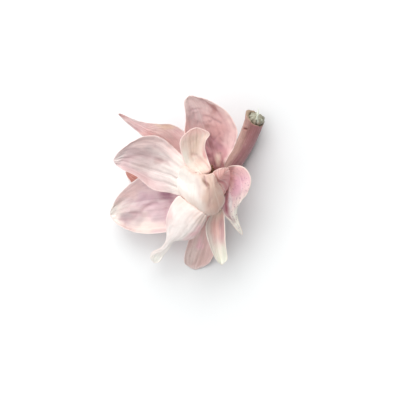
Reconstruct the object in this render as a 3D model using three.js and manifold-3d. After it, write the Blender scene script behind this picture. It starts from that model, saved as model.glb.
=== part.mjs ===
// A cut saucer magnolia bloom on a short piece of stem, lying on a surface and seen from above.
// Millimetres, +Z up. The origin is on the surface, under the middle of the bloom's box.
// +X runs to the right and +Y away from the viewer who looks straight down on it.

import * as THREE from 'three';
import { mergeVertices } from 'three/addons/utils/BufferGeometryUtils.js';
import Module from 'manifold-3d';

const wasm = await Module();
wasm.setup();

// ---- Driving sizes ----

// Moves the bloom so that the origin lies under the middle of its box.
const ORIGIN_SHIFT = new THREE.Vector3(0.6, 0.1, 0);

const SURFACE_SIZE = 400;
const BLADE_THICKNESS = 0.8;
const BLADE_COLUMNS = 8;
const ROWS_PER_SPAN = 2;
const SEAT_GAP = 0.3;
const CLAW_HALF_WIDTH = 2.3;

// The receptacle: where its foot is, the way it leans, and how thick it is where the tepals sit.
const RECEPTACLE_FOOT = new THREE.Vector3(16.5, -1, 17);
const RECEPTACLE_LEAN = new THREE.Vector3(0, 0.3, 0.954).normalize();
const RECEPTACLE_RADIUS = 3.9;
const RECEPTACLE_LENGTH = 11.5;
// Heights along the receptacle of the four rows of tepals, from the outermost to the innermost.
const SEAT_ROW = { outer: 2, second: 4.6, third: 7.2, inner: 9.8 };

// The pistil column stands on the receptacle and leans further over.
const COLUMN_TOP = new THREE.Vector3(17.6, 11.5, 39.5);
const COLUMN_FOOT_RADIUS = 2.7;
const COLUMN_TOP_RADIUS = 1.5;
const COLUMN_SIDES = 12;
// Shares of the way up the column at which its solid has a ring.
const COLUMN_RINGS = [0.06, 0.35, 0.7, 1];
const CARPEL = { rows: 5, perRow: 6, lowest: 0.45, length: 3.4, lean: 0.25, width: 0.9, sides: 3 };

const STAMEN = { rows: 3, perRow: 10, length: 8, shortest: 0.85, width: 1, spread: 0.3, sides: 3 };
// The collar's place is a share of the way up the column, and its rows are set out in stamen widths.
const STAMEN_COLLAR = { place: 0.1, radius: 4.7, height: 3, sides: 24, firstRow: 0.6, rowStep: 0.45 };
const STAMEN_ROOT = 0.4;
const STAMEN_UNEVENNESS = 0.2;
const RANDOM_SEED = 11;

// A spike is widest at its root. Its middle ring lies this share of the way to its tip.
const SPIKE = { middle: 0.55, middleRadius: 0.85, tipRadius: 0.3 };

const STEM_RADIUS = 6.2;
const STEM_SIDES = 16;
const STEM_STEPS = 26;
// Points along the middle of the stem, each with its share of STEM_RADIUS, from the flower to the cut end.
const STEM_ROUTE = [
  [16.6, -1.1, 16.4, 0.66],
  [17.2, -2.2, 13.6, 0.7],
  [19.6, -0.8, 10.2, 0.8],
  [24.4, 5, 7.4, 0.92],
  [30.4, 13.4, 6.1, 1],
  [36.6, 22.6, 5.9, 1],
  [41, 31.2, 7.8, 1.02],
  [43.8, 38.2, 11.4, 1.04],
  [45.6, 42.8, 15, 1.07],
];
const BUD_SCAR = { at: [39, 37.4, 14.8], size: [1.6, 1.1, 1.5], sides: 8, rings: 6 };

// The broken end of the wood: rings by their distance from the bark's end and their radius.
const WOOD_RINGS = [[0.3, 5.2], [1.4, 5.7], [2.8, 5.4], [4, 4.2], [4.8, 2]];
const WOOD_OFFSET = [0.6, -0.2, 0];
const WOOD_RIBS = { count: 9, depth: 0.09, sides: 4 };
const SPLINTER = { root: [47.6, 44.6, 18], tip: [48.4, 51.4, 23], radius: 0.9, sides: 5 };

// ---- The tepals ----
// A tepal runs from its seat on the receptacle to its tip. Each station is its left edge, its
// midrib and its right edge, looking from the seat to the tip at the inner face.
// cup: 2 is an evenly curved hollow, lower values fold the blade along its midrib.

const TEPALS = {
  tepal_top: {
    row: 'third', azimuth: 80, cup: 2, colour: 0xd4a9a6,
    stations: [
      [[14.6, 9.6, 26.4], [19.4, 10.4, 25.4], [23.8, 9.2, 27.4]],
      [[10, 15.5, 36], [18.5, 16.6, 32], [26, 14.4, 38]],
      [[1.4, 22.4, 46], [17, 25.2, 38], [32, 25.5, 49]],
      [[-2, 32, 52], [15, 36, 44], [33.2, 34, 55]],
      [[-1.8, 43.8, 54], [10.9, 46.6, 49], [27.9, 46, 57]],
      [[-2.8, 53, 55], [6.1, 55, 53], [17, 54.4, 57]],
      [[-2, 57.5, 56], [1.6, 58.8, 56], [6.9, 58.3, 57]],
    ],
  },
  tepal_left_upper: {
    row: 'second', azimuth: 125, cup: 2, colour: 0xd9aaa8,
    stations: [
      [[8, 4.5, 24.5], [10, 7.5, 24], [12.6, 10, 24.5]],
      [[-3.4, 8.8, 31], [2, 15.6, 29], [8.2, 21.1, 33]],
      [[-15, 18.4, 35], [-8.2, 26.2, 35], [-1.2, 33.9, 41]],
      [[-24.5, 26.6, 39], [-17, 33.8, 42], [-10.9, 39.8, 46]],
      [[-32.6, 33.2, 42], [-27.2, 37, 45], [-21.8, 40.1, 47]],
      [[-40.8, 40.1, 46], [-37.4, 42.2, 47.5], [-34, 41.8, 48]],
      [[-46.6, 45.2, 49], [-47, 46.6, 49.5], [-45.6, 47, 49.5]],
    ],
  },
  tepal_left_middle: {
    row: 'third', azimuth: 172, cup: 2, colour: 0xe0c6c5,
    stations: [
      [[6.8, -5, 29], [7, -1, 28], [7.5, 3, 29]],
      [[-1.7, -9.2, 43.8], [-0.4, 2, 46.6], [2.4, 11.6, 47.6]],
      [[-12.6, -6.6, 43.8], [-11.4, 8.2, 45.8], [-8.2, 22.4, 49]],
      [[-23.8, -4.4, 42], [-24.5, 12.9, 41], [-17.7, 30, 53]],
      [[-34, 4.1, 42], [-35.4, 15.6, 42], [-29.2, 31.6, 53]],
      [[-43.5, 8.5, 42], [-43.5, 17, 42.5], [-39.4, 27, 50]],
      [[-48.3, 11.9, 42], [-48.6, 15.6, 42.5], [-46.8, 21.4, 46]],
      [[-49.6, 14.3, 42.5], [-50.3, 15.6, 42.5], [-49.8, 17.3, 43.5]],
    ],
  },
  tepal_left_lower: {
    row: 'second', azimuth: 200, cup: 1.8, colour: 0xe4c8ca,
    stations: [
      [[8.8, -10.9, 25], [8.2, -7.5, 24.5], [8.2, -4.1, 25.5]],
      [[1.4, -20.4, 26], [-2, -12.2, 22], [-2.7, -3.4, 28]],
      [[-10.9, -32, 24], [-14.3, -15.6, 19], [-15, 2, 29]],
      [[-24.5, -34.7, 20], [-26.5, -17, 15], [-27.2, 6.1, 27]],
      [[-37.4, -33.6, 16], [-38, -18.4, 13], [-38, 0.7, 22]],
      [[-47, -29.8, 14], [-48, -19.9, 12.5], [-47.6, -7.8, 18]],
      [[-52, -25.4, 13], [-53.4, -21.3, 13], [-52.6, -15.8, 15]],
    ],
  },
  tepal_outer_left: {
    row: 'outer', azimuth: 172, cup: 2, colour: 0xc08e85, onSurface: true,
    stations: [
      [[8.2, -7.5, 20.5], [8.2, -4.8, 20], [8.2, -2, 21]],
      [[-2.7, -10.9, 18], [-3.4, -2, 16], [-1.4, 6.8, 19]],
      [[-15, -11.6, 13], [-15.6, -0.7, 10], [-13.6, 10.9, 14]],
      [[-26.5, -8.8, 8], [-27.2, 0.7, 4], [-25.8, 12.2, 9]],
      [[-36.8, -2.4, 3], [-37.4, 4.1, 0.2], [-35, 12.6, 4]],
      [[-41.6, 4.6, 1.5], [-43, 8, 0.4], [-41, 12, 2]],
    ],
  },
  tepal_front: {
    row: 'third', azimuth: 235, cup: 2, colour: 0xf4e6e2,
    stations: [
      [[13.4, -13.6, 27], [10.8, -13.2, 27], [8, -11, 28]],
      [[14, -22.4, 37], [8.4, -21, 38], [-0.4, -14.4, 39]],
      [[12.8, -22.2, 44.6], [6.6, -20.5, 46.8], [-6.2, -10.4, 45.8]],
      [[11.4, -26.8, 44.4], [1.2, -24.4, 46.8], [-11.6, -15.4, 44.6]],
      [[7.4, -33.6, 39.6], [-3.4, -31.2, 42.6], [-14.6, -24.2, 40.4]],
      [[1.4, -38.8, 35], [-7.5, -36.5, 37.5], [-15, -34, 34]],
      [[-8.8, -39.4, 31], [-11.9, -40.1, 31.5], [-15, -38.8, 30]],
      [[-12.9, -44.9, 25], [-15, -44.2, 25.5], [-18.4, -43.9, 24]],
      [[-16.8, -49.6, 20], [-20.4, -48.6, 20], [-24.6, -47.4, 20]],
      [[-19.4, -53.4, 17.5], [-22.6, -52.2, 17.5], [-25.9, -50.8, 17.5]],
      [[-21.6, -54.7, 16.5], [-23, -54.4, 16.5], [-24.6, -53.6, 16.5]],
    ],
  },
  tepal_bottom: {
    row: 'outer', azimuth: 258, cup: 2, colour: 0xbda49b, onSurface: true,
    stations: [
      [[18.4, -12.9, 20], [15.6, -13.6, 19.5], [12.9, -12.9, 20]],
      [[20.4, -22.4, 20], [14.3, -23.8, 17.5], [7.5, -23.1, 20]],
      [[20.4, -33.3, 17], [12.2, -34.7, 13], [2.7, -32.6, 17]],
      [[19, -44.2, 11], [9.5, -45.6, 6.5], [-1, -44.2, 11]],
      [[15.6, -53.8, 5.5], [6.8, -54.6, 1.5], [-2.8, -53.4, 5]],
      [[10, -58, 1], [4.8, -59.3, 0.2], [-0.4, -57.6, 1.2]],
    ],
  },
  tepal_boat: {
    row: 'third', azimuth: 295, cup: 1.6, colour: 0xd2b2ac,
    stations: [
      [[23.6, -11, 30], [21.4, -13, 28], [19, -15.5, 31]],
      [[24.6, -17, 35], [20, -20.4, 29], [14.6, -23.2, 36.5]],
      [[25.2, -26.5, 37], [19, -29.2, 28], [12.4, -29.9, 37]],
      [[25.2, -37.4, 35], [19.7, -38.8, 26], [13.6, -38.8, 35]],
      [[26.2, -46.2, 30], [21, -46.9, 24], [16.3, -46.9, 30]],
      [[26.9, -51.7, 26], [22.1, -52.4, 23], [19.4, -52.7, 26]],
      [[24.8, -55, 23], [23.1, -55.8, 22.5], [21.6, -55.4, 23]],
    ],
  },
  tepal_right: {
    row: 'second', azimuth: 352, cup: 1.4, colour: 0xd5adb0,
    stations: [
      [[24.5, 6.5, 27], [23, 0.7, 24.5], [22.6, -4.2, 25]],
      [[31, 11.4, 38], [27.6, 2, 31], [23.4, -6.5, 31]],
      [[38.8, 9.9, 45], [30.6, -1.4, 36], [23.4, -10.4, 35.5]],
      [[42.8, 2, 45], [30.6, -8.8, 37], [23.8, -15.6, 37]],
      [[40.5, -6.8, 41], [30.3, -16.3, 35], [25.8, -21.1, 37]],
      [[34.7, -14.6, 36], [31.3, -21.8, 33], [28.6, -25.8, 34]],
      [[34.7, -22.4, 32], [33.7, -26.5, 30.5], [31.6, -29.9, 31]],
      [[37.7, -34, 29], [37.1, -35, 28.5], [36, -35.4, 28.5]],
    ],
  },
  tepal_cup: {
    row: 'inner', azimuth: 140, cup: 2, colour: 0xeed8cb,
    stations: [
      [[8.6, 4.6, 32], [10, 8.2, 31.5], [13.4, 11.8, 31.8]],
      [[13.2, 7, 58.6], [8.4, 12, 43], [15.4, 12.6, 45]],
      [[7.5, 7.6, 61], [6.8, 16, 49], [13.3, 18.4, 52]],
      [[0, 12.6, 61.5], [4.8, 21, 52], [11.6, 23.8, 56]],
      [[-4.8, 21.8, 62], [4.8, 27.9, 56], [12.2, 28.6, 60]],
      [[-5.1, 28.6, 62], [4.8, 32.6, 60], [14.8, 32.8, 62]],
      [[-0.7, 35, 62], [5.1, 37, 62.5], [11.6, 36.4, 63]],
    ],
  },
  tepal_belly: {
    row: 'inner', azimuth: 262, cup: 2, colour: 0xe8d8cc,
    stations: [
      [[21.4, -12, 33], [14.4, -15.6, 33], [4.6, -12.4, 35]],
      [[24.4, -14, 40], [14.4, -21.4, 40], [0.6, -12.6, 41]],
      [[24.6, -10, 47], [13.2, -20.4, 47.5], [-5.4, -7.6, 46.6]],
      [[22.6, -3.6, 52], [10.9, -13.6, 53], [-7.4, -0.7, 48]],
      [[19.8, 0.8, 54], [10.9, -6, 56], [-6, 6.5, 49]],
      [[18.6, 4.2, 54.4], [11.6, 0, 56], [-0.6, 9.2, 50.6]],
      [[16.8, 6.2, 54.4], [12.4, 5, 54.6], [5, 8, 52.5]],
    ],
  },
  tepal_inner_right: {
    row: 'inner', azimuth: 15, cup: 2, colour: 0xcfa09c,
    stations: [
      [[24, 4, 33], [25.5, -2, 33], [23, -7, 34]],
      [[27, 6.5, 40], [28, 0, 40], [25, -6.5, 41]],
      [[28, 8.5, 46], [27.3, 3, 47], [23, -2, 48]],
      [[26, 10.3, 51.5], [23.6, 6.3, 53], [19, 2.6, 51.5]],
      [[23.8, 10.9, 55], [21, 9.6, 56], [17.5, 7.5, 55]],
    ],
  },
};

// ---- Turning numbers into closed solids ----

const toVector = (point) => new THREE.Vector3(...point);

/** A closed BufferGeometry from vertices and triangles. */
function geometryFrom(vertices, triangles) {
  const geometry = new THREE.BufferGeometry();
  const positions = vertices.flatMap((vertex) => [vertex.x, vertex.y, vertex.z]);
  geometry.setAttribute('position', new THREE.Float32BufferAttribute(positions, 3));
  geometry.setIndex(triangles.flat());
  return geometry;
}

function toManifold(geometry) {
  const bare = geometry.clone();
  bare.deleteAttribute('normal');
  bare.deleteAttribute('uv');
  const merged = mergeVertices(bare);
  const vertProperties = new Float32Array(merged.attributes.position.array);
  const triVerts = new Uint32Array(merged.index.array);
  return new wasm.Manifold(new wasm.Mesh({ numProp: 3, vertProperties, triVerts }));
}

function fromManifold(solid) {
  const mesh = solid.getMesh();
  const geometry = new THREE.BufferGeometry();
  geometry.setAttribute('position', new THREE.BufferAttribute(mesh.vertProperties, 3));
  geometry.setIndex(new THREE.BufferAttribute(mesh.triVerts, 1));
  return geometry;
}

/** Cuts off what lies below the surface, which leaves a small flat spot to rest on. */
function restOnSurface(geometry) {
  const below = new THREE.BoxGeometry(SURFACE_SIZE, SURFACE_SIZE, SURFACE_SIZE);
  below.translate(0, 0, -SURFACE_SIZE / 2);
  return fromManifold(toManifold(geometry).subtract(toManifold(below)));
}

/** The place on the receptacle at a height along it and an azimuth round it. */
function receptaclePlace(height, azimuthDegrees, radius) {
  const azimuth = THREE.MathUtils.degToRad(azimuthDegrees);
  const across = new THREE.Vector3(1, 0, 0);
  const back = new THREE.Vector3().crossVectors(RECEPTACLE_LEAN, across);
  const outward = across.clone().multiplyScalar(Math.cos(azimuth));
  outward.addScaledVector(back, Math.sin(azimuth));
  const around = new THREE.Vector3().crossVectors(RECEPTACLE_LEAN, outward);
  const place = RECEPTACLE_FOOT.clone().addScaledVector(RECEPTACLE_LEAN, height);
  place.addScaledVector(outward, radius);
  return { place, around };
}

/** The first station of a tepal: its narrow claw, SEAT_GAP clear of the receptacle. */
function clawStation(tepal) {
  const radius = RECEPTACLE_RADIUS + SEAT_GAP + BLADE_THICKNESS / 2;
  const { place, around } = receptaclePlace(SEAT_ROW[tepal.row], tepal.azimuth, radius);
  const left = place.clone().addScaledVector(around, CLAW_HALF_WIDTH);
  const right = place.clone().addScaledVector(around, -CLAW_HALF_WIDTH);
  return [left, place, right];
}

/** A grid of points over the middle of the blade: rows run along it and columns across it. */
function bladeGrid(tepal) {
  const stations = [clawStation(tepal), ...tepal.stations.map((row) => row.map(toVector))];
  const [left, mid, right] = [0, 1, 2].map(
    (side) => new THREE.CatmullRomCurve3(stations.map((row) => row[side]), false, 'catmullrom'),
  );
  const rows = (stations.length - 1) * ROWS_PER_SPAN;
  return Array.from({ length: rows + 1 }, (_, row) => {
    const l = left.getPoint(row / rows);
    const m = mid.getPoint(row / rows);
    const r = right.getPoint(row / rows);
    const halfChord = r.clone().sub(l).multiplyScalar(0.5);
    const depth = l.clone().add(r).multiplyScalar(0.5).sub(m);
    return Array.from({ length: BLADE_COLUMNS + 1 }, (_, column) => {
      const across = (2 * column) / BLADE_COLUMNS - 1;
      const point = m.clone().addScaledVector(halfChord, across);
      return point.addScaledVector(depth, Math.abs(across) ** tepal.cup);
    });
  });
}

/** The unit normal of the grid's inner face at one of its points. */
function gridNormal(grid, row, column) {
  const lastRow = grid.length - 1;
  const lastColumn = grid[0].length - 1;
  const along = grid[Math.min(row + 1, lastRow)][column]
    .clone()
    .sub(grid[Math.max(row - 1, 0)][column]);
  const across = grid[row][Math.min(column + 1, lastColumn)]
    .clone()
    .sub(grid[row][Math.max(column - 1, 0)]);
  return across.cross(along).normalize();
}

/** A blade of even thickness, split into the same triangles on both faces. */
function bladeGeometry(tepal) {
  const grid = bladeGrid(tepal);
  const width = grid[0].length;
  const faceSize = grid.length * width;
  const inner = [];
  const outer = [];
  grid.forEach((points, row) => {
    points.forEach((point, column) => {
      const offset = gridNormal(grid, row, column).multiplyScalar(BLADE_THICKNESS / 2);
      inner.push(point.clone().add(offset));
      outer.push(point.clone().sub(offset));
    });
  });
  const triangles = [];
  for (let row = 0; row < grid.length - 1; row += 1) {
    for (let column = 0; column < width - 1; column += 1) {
      const a = row * width + column;
      const b = a + 1;
      const c = b + width;
      const d = a + width;
      triangles.push([a, b, c], [a, c, d]);
      triangles.push([c + faceSize, b + faceSize, a + faceSize]);
      triangles.push([d + faceSize, c + faceSize, a + faceSize]);
    }
  }
  const rim = rimOrder(grid.length, width);
  rim.forEach((a, step) => {
    const b = rim[(step + 1) % rim.length];
    triangles.push([b, a, a + faceSize], [b, a + faceSize, b + faceSize]);
  });
  return geometryFrom([...inner, ...outer], triangles);
}

/** The grid's outermost vertices, once round, in the inner face's own direction. */
function rimOrder(height, width) {
  const rim = [];
  for (let column = 0; column < width - 1; column += 1) rim.push(column);
  for (let row = 0; row < height - 1; row += 1) rim.push(row * width + width - 1);
  for (let column = width - 1; column > 0; column -= 1) rim.push((height - 1) * width + column);
  for (let row = height - 1; row > 0; row -= 1) rim.push(row * width);
  return rim;
}

/** A solid swept through rings of the given radii round the given centres. */
function sweptGeometry(centres, radii, sides, shape = () => 1) {
  const curve = new THREE.CatmullRomCurve3(centres, false, 'catmullrom');
  const frames = curve.computeFrenetFrames(centres.length - 1, false);
  const vertices = [];
  centres.forEach((centre, ring) => {
    for (let side = 0; side < sides; side += 1) {
      const angle = (side / sides) * Math.PI * 2;
      const radius = radii[ring] * shape(angle, ring);
      const point = centre.clone();
      point.addScaledVector(frames.normals[ring], radius * Math.cos(angle));
      point.addScaledVector(frames.binormals[ring], radius * Math.sin(angle));
      vertices.push(point);
    }
  });
  const first = vertices.length;
  vertices.push(centres[0].clone(), centres.at(-1).clone());
  const triangles = [];
  for (let ring = 0; ring < centres.length - 1; ring += 1) {
    for (let side = 0; side < sides; side += 1) {
      const next = (side + 1) % sides;
      const a = ring * sides + side;
      const b = ring * sides + next;
      triangles.push([a, b, b + sides], [a, b + sides, a + sides]);
    }
  }
  const lastRing = (centres.length - 1) * sides;
  for (let side = 0; side < sides; side += 1) {
    const next = (side + 1) % sides;
    triangles.push([first, next, side]);
    triangles.push([first + 1, lastRing + side, lastRing + next]);
  }
  return geometryFrom(vertices, triangles);
}

/** A bent cone with few sides, from one place towards another, for a stamen or a carpel's tip. */
function spikeGeometry(from, to, bend, radius, sides) {
  const middle = from.clone().lerp(to, SPIKE.middle).add(bend);
  const radii = [radius, radius * SPIKE.middleRadius, radius * SPIKE.tipRadius];
  return sweptGeometry([from, middle, to], radii, sides);
}

function fuse(geometries) {
  const [first, ...rest] = geometries.map(toManifold);
  return fromManifold(rest.reduce((whole, piece) => whole.add(piece), first));
}

/** Draws the same numbers from 0 to 1 on every run. */
function seededDraw(seed) {
  let state = seed;
  return () => {
    state = (state * 16807) % 2147483647;
    return state / 2147483647;
  };
}

// ---- Stem ----

function stemCurve() {
  const centres = STEM_ROUTE.map(([x, y, z]) => new THREE.Vector3(x, y, z));
  return new THREE.CatmullRomCurve3(centres, false, 'catmullrom');
}

function stemRadius(share) {
  const place = share * (STEM_ROUTE.length - 1);
  const before = Math.min(Math.floor(place), STEM_ROUTE.length - 2);
  const [low, high] = [STEM_ROUTE[before][3], STEM_ROUTE[before + 1][3]];
  return STEM_RADIUS * THREE.MathUtils.lerp(low, high, place - before);
}

function stemBark() {
  const shares = Array.from({ length: STEM_STEPS + 1 }, (_, step) => step / STEM_STEPS);
  const curve = stemCurve();
  const centres = shares.map((share) => curve.getPoint(share));
  const bark = sweptGeometry(centres, shares.map(stemRadius), STEM_SIDES);
  const scar = new THREE.SphereGeometry(1, BUD_SCAR.sides, BUD_SCAR.rings);
  scar.scale(...BUD_SCAR.size);
  scar.translate(...BUD_SCAR.at);
  return restOnSurface(fuse([bark, scar]));
}

/** The broken wood beyond the bark: a ribbed dome with one long splinter near its upper edge. */
function stemWood() {
  const curve = stemCurve();
  const end = curve.getPoint(1).add(toVector(WOOD_OFFSET));
  const along = curve.getTangent(1);
  const centres = WOOD_RINGS.map(([distance]) => end.clone().addScaledVector(along, distance));
  const ribs = (angle) => 1 + WOOD_RIBS.depth * Math.cos(WOOD_RIBS.count * angle);
  const sides = WOOD_RIBS.count * WOOD_RIBS.sides;
  const dome = sweptGeometry(centres, WOOD_RINGS.map(([, radius]) => radius), sides, ribs);
  const [root, tip] = [toVector(SPLINTER.root), toVector(SPLINTER.tip)];
  const splinter = spikeGeometry(root, tip, new THREE.Vector3(), SPLINTER.radius, SPLINTER.sides);
  return fuse([dome, splinter]);
}

// ---- Pistil column and stamens ----

/** The column's middle: up the receptacle, then leaning over to COLUMN_TOP. */
function columnPlace(share) {
  const shoulder = receptaclePlace(RECEPTACLE_LENGTH, 0, 0).place;
  return shoulder.lerp(COLUMN_TOP, share);
}

function columnAxes() {
  const along = COLUMN_TOP.clone().sub(columnPlace(0)).normalize();
  const across = new THREE.Vector3(1, 0, 0);
  const back = new THREE.Vector3().crossVectors(along, across).normalize();
  return { along, across, back };
}

/** A point at an azimuth round the column and a radius from its middle. */
function besideColumn(share, azimuth, radius) {
  const { across, back } = columnAxes();
  const point = columnPlace(share);
  point.addScaledVector(across, radius * Math.cos(azimuth));
  return point.addScaledVector(back, radius * Math.sin(azimuth));
}

function pistilColumn() {
  const { along } = columnAxes();
  const centres = [receptaclePlace(0, 0, 0).place, receptaclePlace(RECEPTACLE_LENGTH - 1, 0, 0).place];
  const radii = [RECEPTACLE_RADIUS, RECEPTACLE_RADIUS];
  COLUMN_RINGS.forEach((share) => {
    centres.push(columnPlace(share));
    radii.push(THREE.MathUtils.lerp(COLUMN_FOOT_RADIUS, COLUMN_TOP_RADIUS, share));
  });
  const pieces = [sweptGeometry(centres, radii, COLUMN_SIDES)];
  for (let row = 0; row < CARPEL.rows; row += 1) {
    const share = THREE.MathUtils.lerp(CARPEL.lowest, 1, row / (CARPEL.rows - 1));
    const radius = THREE.MathUtils.lerp(COLUMN_FOOT_RADIUS, COLUMN_TOP_RADIUS, share);
    for (let index = 0; index < CARPEL.perRow; index += 1) {
      const azimuth = ((index + row / 2) / CARPEL.perRow) * Math.PI * 2;
      const root = besideColumn(share, azimuth, radius - CARPEL.width);
      const tip = besideColumn(share, azimuth, radius + CARPEL.length * CARPEL.lean);
      tip.addScaledVector(along, CARPEL.length);
      const bend = besideColumn(share, azimuth, CARPEL.width).sub(columnPlace(share));
      pieces.push(spikeGeometry(root, tip, bend, CARPEL.width, CARPEL.sides));
    }
  }
  return fuse(pieces);
}

/** A collar round the column's foot with rows of strap-like stamens that rise from it. */
function stamenRing() {
  const { along } = columnAxes();
  const draw = seededDraw(RANDOM_SEED);
  const inner = COLUMN_FOOT_RADIUS + SEAT_GAP;
  const profile = [
    new THREE.Vector2(inner, 0),
    new THREE.Vector2(STAMEN_COLLAR.radius, 0),
    new THREE.Vector2(STAMEN_COLLAR.radius, STAMEN_COLLAR.height),
    new THREE.Vector2(inner, STAMEN_COLLAR.height),
    new THREE.Vector2(inner, 0),
  ];
  const collar = new THREE.LatheGeometry(profile, STAMEN_COLLAR.sides);
  collar.applyQuaternion(new THREE.Quaternion().setFromUnitVectors(new THREE.Vector3(0, 1, 0), along));
  const foot = columnPlace(STAMEN_COLLAR.place);
  collar.translate(foot.x, foot.y, foot.z);
  const pieces = [collar];
  for (let row = 0; row < STAMEN.rows; row += 1) {
    const radius = inner + STAMEN.width * (STAMEN_COLLAR.firstRow + row * STAMEN_COLLAR.rowStep);
    for (let index = 0; index < STAMEN.perRow; index += 1) {
      const turn = (index + row / STAMEN.rows + STAMEN_UNEVENNESS * draw()) / STAMEN.perRow;
      const azimuth = turn * Math.PI * 2;
      const root = besideColumn(STAMEN_COLLAR.place, azimuth, radius);
      root.addScaledVector(along, STAMEN_COLLAR.height * STAMEN_ROOT);
      const lean = STAMEN.spread * (row + draw());
      const tip = besideColumn(STAMEN_COLLAR.place, azimuth, radius + lean);
      tip.addScaledVector(along, STAMEN.length * THREE.MathUtils.lerp(STAMEN.shortest, 1, draw()));
      pieces.push(spikeGeometry(root, tip, new THREE.Vector3(), STAMEN.width / 2, STAMEN.sides));
    }
  }
  return fuse(pieces);
}

// ---- The object ----

function addPiece(group, name, geometry, colour, roughness) {
  const material = new THREE.MeshStandardMaterial({ color: colour, roughness, metalness: 0 });
  const mesh = new THREE.Mesh(geometry, material);
  mesh.name = name;
  group.add(mesh);
}

const magnolia = new THREE.Group();
magnolia.position.copy(ORIGIN_SHIFT);
addPiece(magnolia, 'stem_bark', stemBark(), 0x8c6560, 0.8);
addPiece(magnolia, 'stem_wood', stemWood(), 0xbec9b3, 0.8);
addPiece(magnolia, 'pistil_column', pistilColumn(), 0xa6a274, 0.7);
addPiece(magnolia, 'stamen_ring', stamenRing(), 0xc99a92, 0.7);
Object.entries(TEPALS).forEach(([name, tepal]) => {
  const blade = bladeGeometry(tepal);
  addPiece(magnolia, name, tepal.onSurface ? restOnSurface(blade) : blade, tepal.colour, 0.6);
});

export default magnolia;
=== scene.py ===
"""A cut saucer magnolia bloom on a short piece of stem, lying on a pale floor and seen from above."""

import math
from types import SimpleNamespace as Sizes

import bpy
import numpy as np
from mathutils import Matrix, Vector, noise


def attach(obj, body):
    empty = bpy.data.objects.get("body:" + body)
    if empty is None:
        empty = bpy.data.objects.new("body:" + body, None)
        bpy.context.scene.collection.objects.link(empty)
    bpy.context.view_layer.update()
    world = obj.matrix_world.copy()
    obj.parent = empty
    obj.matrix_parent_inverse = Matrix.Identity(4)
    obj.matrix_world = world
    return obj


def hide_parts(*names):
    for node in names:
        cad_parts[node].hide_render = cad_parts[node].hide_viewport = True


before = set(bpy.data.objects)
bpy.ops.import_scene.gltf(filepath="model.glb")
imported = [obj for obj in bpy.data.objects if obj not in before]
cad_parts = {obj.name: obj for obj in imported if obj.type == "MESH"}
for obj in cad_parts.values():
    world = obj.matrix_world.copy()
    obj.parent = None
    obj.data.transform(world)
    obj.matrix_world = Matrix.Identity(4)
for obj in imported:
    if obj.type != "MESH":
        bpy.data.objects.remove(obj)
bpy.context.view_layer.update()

# ---- Sizes: millimetres in the bloom's own frame, which ORIGIN_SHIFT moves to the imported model's ----

MM = 0.001
ORIGIN_SHIFT = np.array([0.6, 0.1, 0])
BODY = "root"
UP = (0, 0, 1)

# The receptacle that carries the tepals, and the heights along it of their four rows.
RECEPTACLE_FOOT = np.array([16.5, -1, 17])
RECEPTACLE_LEAN = np.array([0, 0.3, 0.954]) / math.hypot(0.3, 0.954)
RECEPTACLE_LENGTH = 11.5
SEAT_ROW = {"outer": 2, "second": 4.6, "third": 7.2, "inner": 9.8}
SEAT_RADIUS = 4.6
CLAW_HALF_WIDTH = 2.3

# A tepal's mesh: columns across it, rows for each span between two stations, rows of its round tip.
COLUMNS = 48
ROWS_PER_SPAN = 12
TIP_ROWS = 12
TIP_SPAN_SHARE = 0.7
TIP_POWER = 2.2
TIP_NARROWEST = 0.06

# A tepal is fleshy along its middle and thin at its edge, which is rounded.
THICKNESS_MIDDLE = 0.62
THICKNESS_EDGE = 0.36
THICKNESS_POWER = 3
RIM_BULGE = 0.16

# The noise under a tepal's relief, by its scale across and along. A furrow's is across the whole width.
RUFFLE_GRAIN = (0.03, 0.075)
FURROW_GRAIN = (5.5, 0.02)
WRINKLE_GRAIN = (0.16, 0.11)
WRINKLE_LEVEL = 0.25
RELIEF_GAIN = 2
# Each tepal's noise is shifted by the letters of its name, this far for each, in its relief and its skin.
RELIEF_SEED = 0.37
SKIN_SEED = 0.13
# The relief grows from nothing over this length of the claw.
SMOOTH_CLAW = 14

# The pistil column on its receptacle, with carpels in a spiral round it.
COLUMN_TOP = np.array([15.2, 10.6, 37])
COLUMN_RINGS = 60
COLUMN_SIDES = 36
# Shares of the way from the receptacle's foot to the column's top, each with the radius there.
COLUMN_RADII = [(0, 3.9), (0.38, 3.9), (0.44, 2.6), (0.6, 2.5), (0.8, 2), (0.95, 1.4), (1, 0.7)]
GOLDEN_ANGLE = 137.508
CARPELS = Sizes(
    count=58, lowest=0.6, highest=0.985, length=3.2, uneven=0.2, uneven_step=2.3,
    radius=0.62, flat=0.85, taper=1.6, tip=0.12, sunk=0.5, lean=0.25, curl=1.1,
    rise=0.75, bow=2.2, steps=9,
)

# The stamens stand in rows on a low collar round the foot of the column.
STAMENS = Sizes(
    seed=11, rows=4, per_row=13, steps=10, foot=1, shortest=6.56, longest=8.2,
    half_width=0.62, half_depth=0.24, rounding=(0.05, 0.04), waist=0.75, spread=0.3,
    spread_by=(-0.2, 0.3), bow=(0.1, 0.5), off_place=0.2,
)
COLLAR = Sizes(share=0.44, inner=2.9, outer=4.5, height=2.4, outer_rise=0.8, sides=48)
THIN_SIDES = 8

STEM_RADIUS = 6.2
STEM_SIDES = 96
STEM_RINGS = 180
# Points along the middle of the stem, each with its share of STEM_RADIUS, from the flower to the cut end.
STEM_ROUTE = [
    (16.6, -1.1, 16.4, 0.66), (17.2, -2.2, 13.6, 0.7), (19.6, -0.8, 10.2, 0.8), (24.4, 5, 7.4, 0.92),
    (30.4, 13.4, 6.1, 1), (36.6, 22.6, 5.9, 1), (41, 31.2, 7.8, 1.02), (43.8, 38.2, 11.4, 1.04),
    (45.6, 42.8, 15, 1.07),
]
# Angles round the stem run from -180 to 180 degrees, 0 on top and 90 on the right, seen from the flower.
BARK_RIDGE = Sizes(angle=-20, width=26, height=0.22)
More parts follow.
